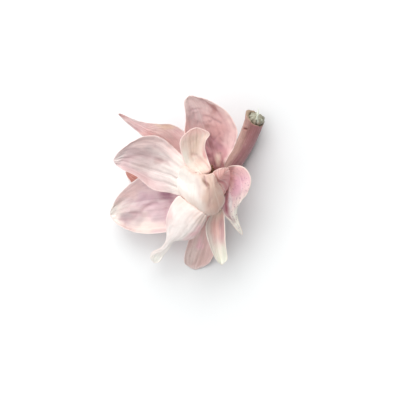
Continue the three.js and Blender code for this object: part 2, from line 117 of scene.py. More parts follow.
# Noise on the bark: its scale round the stem and along it, its seed, and its height.
BARK_UNEVENNESS = [(1.6, 0.04, 3.1, 0.22), (6, 0.09, 9.4, 0.08)]
# Rings left by old bud scales, by their distance from the cut, with the noise that they wander by.
RING_SCARS = [(5.2, 0.16), (6.1, 0.12), (30.5, 0.2), (31.6, 0.2), (32.5, 0.14)]
RING_WANDER = (0.8, 0, 5.7, 0.8)
RING_HALF_WIDTH = 0.32
# The bark reaches furthest past the cut at this angle and tears off in an uneven line. Its wall is
# thickest there and swells outwards. stretch_from and swell_from: how far from the cut these begin.
BARK_LIP = Sizes(
    angle=-95, width=88, reach=4.6, stretch_from=9, tear=(3, 0, 1.3, 0.6), wall=1,
    thickest=2.6, thick_width=50, depth=1.6, swell=1.2, swell_width=55, swell_from=5,
)
# The lip's rounded section: shares of its wall inwards and of its depth onwards.
LIP_SECTION = [(0.12, 0), (0.45, 0.15), (0.8, 0.1), (1, -0.1), (1.05, -0.5), (1.05, -1)]
BUD_SCAR = Sizes(at=(39, 37.4, 14.8), radius=1.7, height=0.75)
BUD_SLIT = Sizes(start=(38.4, 37.1, 15), end=(39.9, 36.4, 16.6), width=0.55, depth=0.9)
# Pale pores, kept off the two ends and the underside of the stem.
LENTICELS = Sizes(
    seed=5, count=26, length=1.1, width=0.4, height=0.12, off_flower=3, off_cut=8, spread=150
)

# The wood beyond the bark: distance from the cut, radius, and how deep its ribs are there.
WOOD_RINGS = [
    (-1, 4.9, 0), (0.4, 5.2, 0.04), (1.2, 5.6, 0.07), (2.2, 5.6, 0.09), (3.2, 5.1, 0.1), (4.1, 4.1, 0.1),
    (4.7, 2.7, 0.08), (5, 1.1, 0.04),
]
WOOD_OFFSET = np.array([0.6, -0.2, 0])
WOOD_RIBS = Sizes(count=9, sway=0.5)
WOOD_FIBRES = Sizes(scale=7, height=0.05, reach=7)
WOOD_SIDES = 108
WOOD_STEPS = 40
# The long splinter: places along it, each with its half width, and its wavy edge.
SPLINTER = [
    (46.9, 42.4, 19.4, 0.95), (47.3, 45.4, 21.8, 0.75), (47.9, 48.6, 22.9, 0.5), (48.4, 51.4, 23, 0.12),
]
SPLINTER_MESH = Sizes(steps=24, sides=14, flat=0.6, wave=0.12, waves=14)

# The camera looks straight down. The frame is FRAME_WIDTH across at the height FRAME_HEIGHT_ABOVE.
CAMERA_AT = (8.76, -11.46, 2400)
CAMERA_CLIP = (0.1, 20)
FRAME_WIDTH = 272
FRAME_HEIGHT_ABOVE = 38
SENSOR = 36

# The floor's half width and its distance below the bloom, in metres, and its colour.
FLOOR_HALF = 6
FLOOR_DROP = 0.0001
FLOOR_COLOUR = (0.815, 0.83, 0.832, 1)
# Soft lights from far away: the direction that each comes from, its angle in degrees and its strength.
SUNS = {"window_behind": ((-0.2, 1.2, 1), 52, 2.36), "window_left": ((-0.58, 0.05, 1), 62, 1.97)}
SKY_STRENGTH = 0.275

# ---- Tepals ----
# Some washes are painted shade or painted highlight, as the comments at the tepals say.
# The edge's colour is a paler margin and also a painted highlight where the rim catches the light.
# Across a blade u runs from -1 at its left edge to 1 at its right, and v runs from 0 at the seat to 1 at
# the tip. In the tables u, v and all shares and strengths are in hundredths. Colours are written as red,
# green and blue in hexadecimal, as a screen shows them.
# seat: its row on the receptacle and its angle there, in degrees.
# cup: 2 is an evenly curved hollow, and lower values fold the blade along its midrib.
# blunt: how square the tip is, TIP_POWER if not given.
# relief: how far the edges are ruffled, how deep the long grooves are and how high the small folds.
# slot: the finish that the piece has in the imported model.
# stations: from near the seat to the tip. Each line holds the x y z of the left edge, the midrib and the
# right edge, looking from the seat to the tip at the inner face.
# creases: each line holds a half-width and a depth into the inner face, both in millimetres, how strongly
# the crease is darkened with painted shade, and the u v places that it runs through.
# inner and outer: its two faces, the outer one PLAIN_OUTER if not given. Each has these:
# along: shares of the way from the seat to the tip, each with the colour there.
# washes: soft patches, each a colour, its middle u v, its reach across and along, and its strength.
# marks: the veins' colour and strength, the mottling's, and the edge's with its width in millimetres first.
# edge_from: the v from which the edge has its colour. speckles: the colour of small dots.

PLAIN_OUTER = {
    "along": "0 b98088, 30 d8a5a8, 65 e8c0c0, 100 f3dedb",
    "washes": "b0707c 0 30 30 60 60",
    "marks": "a8606e 40, cf97a0 30, f4e2de 1 60",
}
WHITE_OUTER = {
    "along": "0 d8a8a2, 30 f0d3c9, 65 f7e7df, 100 f6e3de",
    "washes": "dba49f 0 25 30 50 50",
    "marks": "d6a09c 25, ecccc4 30, f8e3dd 0.8 60",
}

TEPALS = {}
TEPALS["tepal_top"] = {
    "seat": ("third", 80), "cup": 2, "blunt": 2.8, "relief": (0.5, 0.16, 0.35), "slot": "petal_dusty",
    "stations": """
    16 9.6 32, 20 10 31, 24 9.4 32
    12.6 15.2 39, 19.6 16.4 36, 26 14.6 40
    3.4 22.4 46, 17.6 25.2 39.5, 32 25.5 49
    -2 32 52, 15 36 44, 33.2 34 55
    -1.8 43.8 54, 10.9 46.6 49, 27.9 46 57
    -2.8 53 55, 6.1 55 53, 17 54.4 57
    -2 57.5 56, 1.6 58.8 56, 6.9 58.3 57""",
    "creases": """
    0.9 0.35 70: -59 77, -41 77, -23 77, -1 77
    0.8 -0.3 0: -50 75.5, -10 75.7
    1.4 0.35 70: 38 88, 50 84, 60 80, 61 75, 63 69
    0.9 0.4 80: -4 70, 16 69, 29 67, 40 65, 51 63
    0.7 0.35 80: 10 64, 25 66, 37 65
    1.1 0.35 60: -38 65, -20 63, -4 60
    0.9 0.5 100: -10 52, -3 50, 7 47
    0.7 0.3 60: 6 48, 20 51, 35 54
    0.7 0.3 70: 24 51, 35 49, 43 46
    0.7 0.6 100: -42 20, -36 28, -20 35
    0.7 0.5 80: 62 20, 55 28, 34 35""",
    "inner": {
        "along": """
        0 ddaead, 28 dbaaad, 36 d9a8ad, 42 d7a8ad, 50 d5a7a7, 58 e2b9b7, 68 e0bbb8, 78 e0c3c0, 88 e6cdc9,
        100 eacfca""",
        # fae4d6 is a painted highlight: pale cream on the claw, which lies in shade inside the goblet.
        "washes": """
        aa787c -10 45 34 9 85, c08f9b 30 43 28 8 60, fae4d6 5 26 55 13 100, f4d4ce 95 32 30 12 90,
        b8808a -70 37 40 8 80, f2d1ce 78 46 30 16 85, c4abab -45 71 55 15 75, b7837c 58 79 26 13 80,
        f3dcd6 -80 95 60 12 85, ecbdb9 35 58 40 10 60, f0d2cc 95 66 25 20 70, b7938a -15 60 32 5 60""",
        "marks": "b78387 20, cda3a7 30, f6e1da 1.1 70",
    },
}
TEPALS["tepal_left_upper"] = {
    "seat": ("second", 125), "cup": 2, "relief": (0.5, 0.16, 0.2), "slot": "petal_dusty",
    "stations": """
    8 4.5 24.5, 10 7.5 24, 12.6 10 24.5
    -3.4 8.8 31, 2 15.6 29, 8.2 21.1 33
    -15 18.4 35, -8.2 26.2 35, -1.2 33.9 41
    -24.5 26.6 39, -17 33.8 42, -10.9 39.8 46
    -32.6 33.2 42, -27.2 37 45, -21.8 40.1 47
    -40.8 40.1 46, -37.4 42.2 47.5, -34 41.8 48
    -46.6 45.2 49, -47 46.6 49.5, -45.6 47 49.5""",
    "inner": {
        "along": """
        0 fbf0ea, 40 f2d6d2, 50 f0d8d4, 60 f0dad4, 70 eccfcb, 80 ebcdcc, 90 ecccca, 97 d9aaa6, 100 b98682""",
        "washes": """
        f3dcc6 70 60 40 11 85, fae0de 55 46 45 9 85, dfb0ae -50 64 60 12 50, c9a3a8 -80 80 50 10 60,
        fdf0ea 70 88 40 7 85""",
        "marks": "c39090 22, d7abae 30, f7ebe4 0.9 70",
    },
}
TEPALS["tepal_left_middle"] = {
    "seat": ("third", 172), "cup": 2, "relief": (0.5, 0.25, 0.3), "slot": "petal_pale",
    "stations": """
    6.8 -5 29, 7 -1 28, 7.5 3 29
    -1.7 -9.2 43.8, -0.4 2 46.6, 2.4 11.6 47.6
    -12.6 -6.6 43.8, -11.4 8.2 45.8, -8.2 22.4 49
    -23.8 -4.4 42, -24.5 12.9 41, -17.7 30 53
    -34 4.1 42, -35.4 15.6 42, -29.2 31.6 53
    -43.5 8.5 42, -43.5 17 42.5, -39.4 27 50
    -48.3 11.9 42, -48.6 15.6 42.5, -46.8 21.4 46
    -49.6 14.3 42.5, -50.3 15.6 42.5, -49.8 17.3 43.5""",
    "creases": """
    1.4 0.35 40: 98 75, 82 63, 72 54, 60 46, 43 40
    1.7 0.35 50: -16 77, 9 68, 25 60, 28 53, 25 46
    1 0.5 60: 23 48, 21 45, 33 41
    1.3 0.2 30: -66 54, -58 47, -61 41""",
    "inner": {
        "along": "0 efe4de, 30 ebe0d8, 38 dfd3ce, 50 dcccc9, 60 dfc9c8, 72 e1c8c9, 85 e5d0cf, 100 e8d8d4",
        # Painted shade: ceadac and c8b6b2 darken the lower margin and bba19d the hollow in the middle. f6dcd8
        # is a painted highlight on the steep band under the upper margin.
        "washes": """
        c9afb0 40 60 32 22 40, bba19d 20 45 22 9 75, f6dcd8 95 58 50 36 95, ceadac -80 60 40 28 70,
        c8b6b2 -25 56 40 14 60, f4e9e6 10 85 50 10 70, ceb2b3 -30 74 40 10 50""",
        "marks": "a88c8e 34, d0b5b5 30, f2dad4 1 70",
    },
}
TEPALS["tepal_left_lower"] = {
    "seat": ("second", 200), "cup": 1.8, "blunt": 3.6, "relief": (0.6, 0.2, 0.35), "slot": "petal_pale",
    "stations": """
    8.8 -10.9 25, 8.2 -7.5 24.5, 8.2 -4.1 25.5
    1.4 -20.4 26, -2 -12.2 22, -2.7 -3.4 28
    -10.9 -32 24, -14.3 -15.6 19, -15 2 29
    -24.5 -34.7 20, -26.5 -17 15, -27.2 6.1 27
    -37.4 -33.6 16, -38 -18.4 13, -38 0.7 22
    -47 -29.8 14, -48 -19.9 12.5, -47.6 -7.8 18
    -52 -25.4 13, -53.4 -21.3 13, -52.6 -15.8 15""",
    "creases": """
    1.3 0.55 100: -12 72, -15 65, -3 63, 9 58, 15 55, 16 51
    2 0.35 70: -44 84, -45 78, -38 72, -18 67, -23 62, -26 58
    0.9 -0.45 0: -6 56, 1 53, 3 49, 0 44
    0.8 0.4 90: 27 48, 30 44
    1.2 0.25 50: -7 44, -34 45, -69 46""",
    "inner": {
        "along": "0 dfc2c3, 40 dbbcc3, 50 dfc4c9, 62 e4ccce, 75 e8d2d1, 84 ebded7, 92 f0e9e1, 100 f0eae1",
        "washes": """
        ceb4ae -88 66 42 36 90, b19fa1 -42 75 40 17 90, e5d8ce -68 60 60 20 80, ecceca 75 78 40 24 80,
        ae8293 42 43 40 9 95, baa2a7 -28 51 32 10 60, d5b2bf 28 61 34 16 60""",
        "marks": "b3959d 24, ccb1b7 30, f0e6e1 1 60",
    },
}
TEPALS["tepal_outer_left"] = {
    "seat": ("outer", 172), "cup": 2, "relief": (0.5, 0.2, 0.3), "slot": "petal_dusty",
    "stations": """
    8.2 -7.5 20.5, 8.2 -4.8 20, 8.2 -2 21
    -2.7 -10.9 18, -3.4 -2 16, -1.4 6.8 19
    -15 -11.6 13, -15.6 -0.7 10, -13.6 10.9 14
    -26.5 -8.8 8, -27.2 0.7 4, -25.8 12.2 9
    -36.8 -2.4 3, -37.4 4.1 0.2, -35 12.6 4
    -41.6 4.6 1.5, -43 8 0.4, -41 12 2""",
    "inner": {
        # Its orange-brown, darkening towards the tip, is painted shade over a dusty pink: it lies under the
        # tepals above it.
        "along": "0 d9b0a8, 60 c08a80, 85 b07a6e, 100 c08f84",
        "washes": "8f5a50 -20 80 50 10 50",
        "marks": "8f5a52 35, a06a60 40, d8b4aa 0.8 60",
    },
}
TEPALS["tepal_front"] = {
    "seat": ("third", 235), "cup": 2, "relief": (0.3, 0.14, 0.25), "slot": "petal_white",
    "stations": """
    13.4 -13.6 27, 10.8 -13.2 27, 8 -11 28
    14 -22 38, 8.8 -20.4 39, 0.2 -13.6 40
    13 -21 45.4, 7.4 -18.7 48, -5.8 -8.8 46.8
    11.4 -26.4 44.6, 1.4 -23.8 47.4, -11.4 -15 45
    7.4 -33.6 39.6, -3.4 -31.2 42.6, -14.6 -24.2 40.4
    1.4 -38.8 35, -7.5 -36.5 37.5, -15 -34 34
    -8.8 -39.4 31, -11.9 -40.1 31.5, -15 -38.8 30
    -12.9 -44.9 25, -15 -44.2 25.5, -18.4 -43.9 24
    -16.8 -49.6 20, -20.4 -48.6 20, -24.6 -47.4 20
    -19.4 -53.4 17.5, -22.6 -52.2 17.5, -25.9 -50.8 17.5
    -21.6 -54.7 16.5, -23 -54.4 16.5, -24.6 -53.6 16.5""",
    "inner": {
        "along": "0 d4bdb4, 27 e4d0c7, 34 f0e0da, 42 f7ebe6, 60 f8efeb, 78 f4eee9, 90 f0eee6, 100 eceae2",
        # d9c3b9 is painted shade: a tan band where this tepal runs under the belly's lower edge.
        "washes": """
        ebbbbe -85 46 50 16 85, e2c4c2 100 42 36 16 85, d9c3b9 -60 33 75 7 80, e9d9d5 85 75 50 25 50""",
        "marks": "dcbeba 14, eedbd5 30, f8e7e0 0.8 50",
    },
    "outer": WHITE_OUTER,
}
TEPALS["tepal_bottom"] = {
    "seat": ("outer", 258), "cup": 2, "relief": (0.4, 0.08, 0.22), "slot": "petal_dusty",
    "stations": """
    18.4 -12.9 20, 15.6 -13.6 19.5, 12.9 -12.9 20
    20.4 -22.4 20, 14.3 -23.8 17.5, 7.5 -23.1 20
    20.4 -33.3 17, 12.2 -34.7 13, 2.7 -32.6 17
    19 -44.2 11, 9.5 -45.6 6.5, -1 -44.2 11
    15.6 -53.8 5.5, 6.8 -54.6 1.5, -2.8 -53.4 5
    10 -58 1, 4.8 -59.3 0.2, -0.4 -57.6 1.2""",
    "inner": {
        "along": "0 e6c8c5, 50 e3c1be, 70 dbbdb8, 85 d6bab5, 100 ded0cd",
        "washes": "f5e1db 65 76 55 42 80, f0c1cb 30 62 50 9 70, c9a8a0 -20 82 40 20 40",
        "marks": "bb9290 12, c9a7a4 35, e9d6d0 0.9 60",
    },
}
TEPALS["tepal_boat"] = {
    "seat": ("third", 295), "cup": 1.6, "relief": (0.3, 0.12, 0.15), "slot": "petal_dusty",
    "stations": """
    23.6 -11 30, 21.4 -13 28, 19 -15.5 31
    24.6 -17 35, 20 -20.4 29, 14.6 -23.2 36.5
    25.2 -26.5 37, 19 -29.2 28, 12.4 -29.9 37
    25.2 -37.4 35, 19.7 -38.8 26, 13.6 -38.8 35
    26.2 -46.2 30, 21 -46.9 24, 16.3 -46.9 30
    26.9 -51.7 26, 22.1 -52.4 23, 19.4 -52.7 26
    24.8 -55 23, 23.1 -55.8 22.5, 21.6 -55.4 23""",
    "inner": {
        "along": """
        0 fdf7ee, 30 fdf0e5, 40 f5d1c9, 50 f0d0c9, 60 efdad5, 70 f4efe4, 80 f2f2e2, 90 f4f6e6, 100 f6f6ea""",
        # caa3a6 is painted shade in the hollow of the trough, and fdf8ef a painted highlight on its lit half.
        "washes": "caa3a6 -60 50 50 20 85, fdf8ef 80 55 60 50 90, d9d8ca -70 75 45 22 60",
        "marks": "c49e9b 20, e1c5bf 30, fdf4ea 0.9 90",
    },
    "outer": WHITE_OUTER,
}
TEPALS["tepal_right"] = {
    "seat": ("second", 352), "cup": 1.4, "blunt": 3, "relief": (0.4, 0.16, 0.3), "slot": "petal_dusty",
    "stations": """
    25.8 9.6 35, 23.6 1 26, 22.6 -4.2 25
    31.4 11.8 40, 27.6 2 32, 23.4 -6.5 31
    38.8 9.9 45, 30.6 -1.4 36, 23.4 -10.4 35.5
    42.8 2 45, 30.6 -8.8 37, 22.6 -14.8 37
    40.5 -6.8 41, 30.3 -16.3 35, 24 -20.6 37
    34.7 -14.6 36, 31.3 -21.8 33, 28.6 -25.8 34
    33.5 -22.8 32, 33 -26.5 30.5, 31.6 -29.9 31
    37.7 -34 29, 37.1 -35 28.5, 36 -35.4 28.5""",
    "creases": """
    1.5 0.4 90: 42 20, 65 44, 45 63, 42 84""",
    "inner": {
        "along": """
        0 dfaeaa, 25 dbaca8, 35 e4bebb, 45 e2bec2, 55 eacbcc, 65 efdad4, 75 f8f2e8, 85 f1eee3, 92 e1ddd3,
        100 ddded6""",
        # b26a76, bc7d82 and a77b7a are painted shade: the deep rose band on the wing that lies in the
        # goblet's shadow.
        "washes": """
        b26a76 72 58 38 22 100, bc7d82 50 48 22 10 80, d0a1b0 -35 44 50 17 75, faf3f0 22 58 22 16 80,
        b58d86 -95 26 35 7 70, f4dcd6 20 36 40 8 40, a77b7a 80 74 20 8 80""",
        "marks": "b1798a 10, cb9dab 30, eeded2 1 75", "speckles": "b08098",
    },
}
TEPALS["tepal_cup"] = {
    "seat": ("inner", 140), "cup": 2, "relief": (0.3, 0.12, 0.15), "slot": "petal_white",
    "stations": """
    8 3.6 36, 10 5.4 37, 12.4 7 37
    9.2 4.8 51, 12.6 6 50.4, 15.8 8.8 51
    4.4 7.4 51.6, 7.8 13.5 50, 13.2 16.8 53
    -1.4 11.8 54, 4.8 20 52.2, 11.6 23.8 56
    -4.8 21.8 57.8, 4.8 27.9 56, 12.2 28.6 60
    -5.1 28.6 60, 4.8 32.6 59.6, 14.8 32.8 62
    -0.7 35 62, 5.1 37 62.5, 11.6 36.4 63""",
    "creases": """
    1.2 0.5 60: -20 58, 15 52, 40 42, 75 33""",
    "inner": {
        # The darker colours from 60 along and the wash e2cab6 are painted shade on the lobe turned from the
        # light; fff8ea is a painted highlight on the lit strip below it.
        "along": "0 e9cec3, 22 e5c6ba, 34 eed5c8, 50 f6e5d9, 60 efd5c6, 80 eed0c2, 90 f0c9c0, 100 eabcb4",
        "washes": """
        ecd1c4 30 40 70 16 85, e2aaa7 95 50 35 14 95, fff8ea -80 56 50 20 100, e2cab6 0 67 40 8 60""",
        "marks": "e2beaf 12, efd8c8 30, fde2db 0.9 80",
    },
    "outer": {
        "along": "0 f4e0d4, 30 f8e6da, 60 f4dccd, 100 f3d6ce",
        "washes": "e8c0b2 60 40 60 30 60",
        "marks": "d9aa9c 30, ecccbf 35, f8d8d0 0.9 80",
    },
}
TEPALS["tepal_belly"] = {
    "seat": ("inner", 262), "cup": 2, "blunt": 5, "relief": (0.2, 0.08, 0.2), "slot": "petal_white",
    "stations": """
    21.4 -12 33, 14.4 -15.6 33, 4.6 -12.4 35
    24.4 -14 40, 14.4 -21.4 40, 0.6 -12.6 41
    24.6 -10 47, 13.2 -20.4 47.5, -5.4 -7.6 45.3
    22.6 -3.6 52, 10.9 -13.6 53, -7.6 -0.7 46.8
    19.8 0.8 54, 10.9 -6 56, -7 5.5 47.8
    18.8 4 54.6, 10.4 -0.2 57, -4.6 9.4 53.4
    16.6 7.2 55, 8.4 5.8 57, -1.8 12.2 56.8""",
    "creases": """
    0.9 -0.5 100: -40 99, -22 92, -19 81
    1.5 -0.25 40: 32 87, 22 75, 21 63
    1.2 -0.25 60: -36 74, -37 62, -19 53""",
    "inner": {
        "along": "0 f4dcd4, 50 f2d6cc, 100 eec6be",
        "marks": "d9aaa2 30, e9c4ba 30, f6cfc6 1 90",
    },
    "outer": {
        "along": "0 eecac1, 40 efddd4, 52 f3ebe4, 70 f6eee7, 92 f3e9e1, 100 f2d3c6",
        # On the outer face d8baab, deb5a6, 906b5a and b3857a are painted shade: beige and brown on the side
        # turned from the light, darkest in a fold and at the far edge.
        "washes": """
        d8baab -50 72 92 60 100, deb5a6 -60 46 80 16 70, 906b5a -20 85 20 15 85, b3857a -98 76 22 30 70,
        e2cfc4 35 52 50 12 60""",
        "marks": "c49c90 14, e2ccbf 30, fbd9cb 0.9 95", "edge_from": 93,
    },
}
TEPALS["tepal_inner_right"] = {
    "seat": ("inner", 15), "cup": 2, "blunt": 4, "relief": (0.2, 0.15, 0.15), "slot": "petal_dusty",
    "stations": """
    24 4 33, 25.5 -2 33, 23 -7 34
    27 6.5 40, 28 0 40, 25 -6.5 41
    28 8.5 46, 27.3 3 47, 23 -2 48
    25.4 7.4 51.5, 22.8 4.4 53, 18.4 2 51.5
    28.4 10 53.4, 22.4 9.8 55, 15.4 7 54.8""",
    "inner": {
        "along": "0 f2d6ce, 50 e6b6b2, 100 e9bdb5",
        "marks": "c98a8a 30, dba6a4 30, f6d2c8 0.9 90",
    },
    "outer": {
        # The deep rose of the outer face is partly its own colour and partly painted shade, darkest at
        # c88789, where it lies under the rim.
        "along": "0 ecbdbc, 45 eeb6b7, 62 eaafae, 80 e5b1a9, 100 eec3ba",
        "washes": "c88789 50 68 45 12 80, f0b4ac -75 80 50 30 85",
        "marks": "b57076 30, d59598 35, f6d3cb 0.8 90",
    },
}

# Colours, each after its share of the way in hundredths: round the bark from its underside, and from foot
# to tip of the wood, the carpels and the stamens. The wood's dome has the shares DOME_SHARES of these
# colours, and its splinter SPLINTER_SHARES.
BARK_COLOURS = """
    0 9a726e, 20 b6958c, 33 c6a598, 44 c09c90, 47.5 b28a84, 50 b07e80, 62 ba888a, 72 c498a2, 82 a67c80,
    100 9a726e"""
# The bark's pores, its bud scar, the slit in that and its torn lip: the colour and strength of each.
BARK_MARKS = {
    "Pore": ("d3b5a8", 0.6), "Scar": ("cf9c92", 0.55), "Slit": ("7a3f3c", 0.85), "Cut": ("a08a72", 0.9),
}
WOOD_COLOURS = "0 4a3a32, 24 54463a, 36 8e816f, 60 938f7c, 84 a7a28e, 88 e6f0dc, 100 eef6e8"
DOME_SHARES = (0, 0.84)
SPLINTER_SHARES = (0.88, 1)
# The pistil's own olive and brown are darkened with painted shade, as it lies deep among the tepals.
PISTIL_COLOURS = "0 7d744e, 50 8a7755, 75 98745a, 100 a06a58"
STAMEN_COLOURS = "0 c47f88, 30 dba5a4, 80 e6c3b4, 100 b5707c"
# Painted shade laid into the creases of the tepals.
CREASE_SHADE_COLOUR = "a87880"
# How fine the noise on a skin is: the higher, the finer.
DRIFT_SCALE = 85
MOTTLE_SCALE = 240
SPECKLE_SCALE = 900
GRAIN_SCALE = 1500
# A tepal's skin: how far its colours wander, where each pattern starts and is full, the scales of its
# streaks and veins across and along it, and how strong the painted shade in its creases, its light streaks
# and its bumps are.
PETAL = Sizes(
    wander=(0.42, 0.2, 0), mottling=(0.48, 0.78), speckles=(0.6, 0.72, 0.7), vein_wander=(0.16, 0, 0),
    streaks=(10, 0.8, 1), dark_streaks=(0.52, 0.72), light_streaks=(0.46, 0.3, 0.22), veins=(24, 1.3, 1),
    vein_width=0.026, creases=0.42, edge_fade=0.08, roughness=(0.5, 0.6), bump_mm=0.11, bump_strength=0.4,
)
PETAL_SURFACE = {
    "Subsurface Weight": 0.12, "Subsurface Radius": (1, 0.8, 0.75), "Subsurface Scale": MM,
    "Specular IOR Level": 0.3, "Sheen Weight": 0.06,
}


# ---- Curves and surfaces ----


def cells(table):
    """The words between the commas of a table."""
    return [cell.split() for cell in table.split(",")]


def hundredths(text):
    """A share or a strength that a table gives in hundredths."""
    return float(text) / 100


def catmull_rom(points, shares):
    """Points at the given shares of the way along a smooth curve through the given points."""
    points = np.asarray(points, float)
    padded = np.vstack([2 * points[0] - points[1], points, 2 * points[-1] - points[-2]])
    place = np.clip(shares, 0, 1) * (len(points) - 1)
    span = np.minimum(place.astype(int), len(points) - 2)
    t = (place - span)[:, None]
    a, b, c, d = (padded[span + step] for step in range(4))
    slope = 0.5 * (c - a)
    bend = 0.5 * (2 * a - 5 * b + 4 * c - d)
    twist = 0.5 * (3 * b - a - 3 * c + d)
    return b + slope * t + bend * t**2 + twist * t**3


def unit(vectors):
    """The same vectors at length 1."""
    lengths = np.linalg.norm(vectors, axis=-1, keepdims=True)
    return vectors / np.maximum(lengths, 1e-9)


def lengths_along(path):
    """How far each place lies along a path."""
    steps = np.linalg.norm(np.diff(path, axis=0), axis=1)
    return np.concatenate([[0], np.cumsum(steps)])


def smooth_step(values):
    """Eases from 0 to 1 as the values go from 0 to 1."""
    t = np.clip(values, 0, 1)
    return t * t * (3 - 2 * t)


def hump(distance, width):
    """1 at no distance, easing to 0 over the width."""
    return np.exp(-((distance / width) ** 2))


def distance_to_segment(places, start, end):
    """How far each place is from a straight line between two places."""
    step = end - start
    share = np.clip(((places - start) @ step) / (step @ step), 0, 1)
    return np.linalg.norm(places - start - share[..., None] * step, axis=-1)


def noise_at(places, octaves=1):
    """Smooth noise, about -1 to 1, at an array of places. Each octave is twice as fine and half as strong."""
    flat = places.reshape(-1, 3)
    values = np.zeros(len(flat))
    for octave in range(octaves):
        scale = 2.0**octave
        values += [noise.noise(Vector(place * scale)) / scale for place in flat]
    return values.reshape(places.shape[:-1])


def round_directions(across, back, azimuth):
    """Directions round an axis, at one azimuth or at an array of them."""
    azimuth = np.asarray(azimuth)[..., None]
    return across * np.cos(azimuth) + back * np.sin(azimuth)


def ring_angles(sides):
    """Evenly spaced angles round a ring."""
    return np.linspace(-math.pi, math.pi, sides, endpoint=False)


def claw_station(row, azimuth_degrees):
    """The first station of a tepal: its narrow claw beside the receptacle."""
    across = np.array([1, 0, 0])
    outward = round_directions(across, np.cross(RECEPTACLE_LEAN, across), math.radians(azimuth_degrees))
    side = np.cross(RECEPTACLE_LEAN, outward) * CLAW_HALF_WIDTH
    place = RECEPTACLE_FOOT + RECEPTACLE_LEAN * SEAT_ROW[row] + outward * SEAT_RADIUS
    return [place + side, place, place - side]


class Blade:
    """The smooth form of a tepal as a grid of places: rows run along it and columns across it."""

    def __init__(self, form):
        places = np.array(form["stations"].replace(",", " ").split(), float).reshape(-1, 3, 3)
        stations = np.array([claw_station(*form["seat"]), *places])
        spans = len(stations) - 1
        tip_start = 1 - TIP_SPAN_SHARE / spans
        body = np.linspace(0, tip_start, ROWS_PER_SPAN * spans, endpoint=False)
        tip = np.sin(np.linspace(0, math.pi / 2, TIP_ROWS + 1))
        self.v = np.concatenate([body, tip_start + (1 - tip_start) * tip])
        self.u = np.linspace(-1, 1, COLUMNS + 1)
        left, middle, right = (catmull_rom(stations[:, side], self.v) for side in range(3))
        past_start = np.clip((self.v - tip_start) / (1 - tip_start), 0, 1)
        power = form.get("blunt", TIP_POWER)
        width = (1 - past_start**power) ** (1 / power)
        width = np.maximum(width, TIP_NARROWEST)[:, None, None]
        across = self.u[None, :, None]
        half_chord = ((right - left) / 2)[:, None, :] * width
        depth = ((left + right) / 2 - middle)[:, None, :] * width**2
        self.places = middle[:, None, :] + half_chord * across + depth * np.abs(across) ** form["cup"]

    def normals(self):
        """The unit normals of the inner face."""
        return unit(np.cross(np.gradient(self.places, axis=1), np.gradient(self.places, axis=0)))

    def row_lengths(self):
        """How far each row lies from the seat along the midrib."""
        return lengths_along(self.places[:, COLUMNS // 2])[:, None]

    def half_widths(self):
        """Half the length of each row, measured along the surface."""
        steps = np.linalg.norm(np.diff(self.places, axis=1), axis=2)
        return steps.sum(axis=1)[:, None] / 2

    def edge_distance(self):
        """How far each place is from the nearest side edge or from the tip."""
        lengths = self.row_lengths()
        return np.minimum(self.half_widths() * (1 - np.abs(self.u)), lengths[-1] - lengths)

    def place_at(self, u, v):
        """The place on the surface at (u, v)."""
        column = (u + 1) / 2 * COLUMNS
        row = np.interp(v, self.v, np.arange(len(self.v)))
        low_row = min(int(row), len(self.v) - 2)
        low_column = min(int(column), COLUMNS - 1)
        square = self.places[low_row : low_row + 2, low_column : low_column + 2]
        edge = square[0] + (square[1] - square[0]) * (row - low_row)
        return edge[0] + (edge[1] - edge[0]) * (column - low_column)

    def distance_to_line(self, line):
        """How far each place is from a line through u v places on the surface, in hundredths."""
        corners = [self.place_at(*place) for place in np.array(cells(line), float) / 100]
        return np.min([distance_to_segment(self.places, *ends) for ends in zip(corners, corners[1:])], axis=0)


def relief_of(name, blade):
    """The height of the relief over the smooth form, and how strongly painted shade darkens each place in a
    crease.
    """
    ruffle, furrow, wrinkle = TEPALS[name]["relief"]
    seed = sum(map(ord, name)) * RELIEF_SEED
    sides = blade.u * blade.half_widths()
    u = np.broadcast_to(blade.u, sides.shape)
    along = np.broadcast_to(blade.row_lengths(), sides.shape)

    def field(across, grain, layer, octaves=1):
        places = [across * grain[0], along * grain[1], np.full(sides.shape, seed + layer)]
        return noise_at(np.stack(places, -1), octaves)

    height = field(sides, RUFFLE_GRAIN, 1) * np.abs(u) ** 3 * ruffle
    height += field(u, FURROW_GRAIN, 2, 2) * furrow
    height += (WRINKLE_LEVEL - np.abs(field(sides, WRINKLE_GRAIN, 3, 3))) * wrinkle
    height *= RELIEF_GAIN * smooth_step(along / SMOOTH_CLAW)
    crease_shade = np.zeros(sides.shape)
    for row in TEPALS[name].get("creases", "").split("\n")[1:]:
        sizes, line = row.split(":")
        half_width, depth, darkness = map(float, sizes.split())
        share = hump(blade.distance_to_line(line), half_width)
        height -= share * depth
        crease_shade = np.maximum(crease_shade, share * darkness / 100)
    return height, crease_shade


# ---- Meshes ----


def add_object(name, data):
    """A new object in the scene."""
    thing = bpy.data.objects.new(name, data)
    bpy.context.scene.collection.objects.link(thing)
    return thing


def new_mesh_object(name, vertices, faces, materials, face_materials=None):
    """A smooth-shaded mesh object from places in millimetres, none of them below the floor."""
    places = (np.asarray(vertices) + ORIGIN_SHIFT) * MM
    places[:, 2] = np.maximum(places[:, 2], 0)
    mesh = bpy.data.meshes.new(name)
    mesh.from_pydata(places.tolist(), [], [list(face) for face in faces])
    for material in materials:
        mesh.materials.append(material)
    if face_materials is not None:
        mesh.polygons.foreach_set("material_index", np.asarray(face_materials, np.int32))
    mesh.polygons.foreach_set("use_smooth", np.ones(len(mesh.polygons), bool))
    mesh.update()
    return add_object(name, mesh)


def set_attribute(piece, name, values):
    """Stores one number for each vertex."""
    attribute = piece.data.attributes.new(name, "FLOAT", "POINT")
    attribute.data.foreach_set("value", np.asarray(values, np.float32))


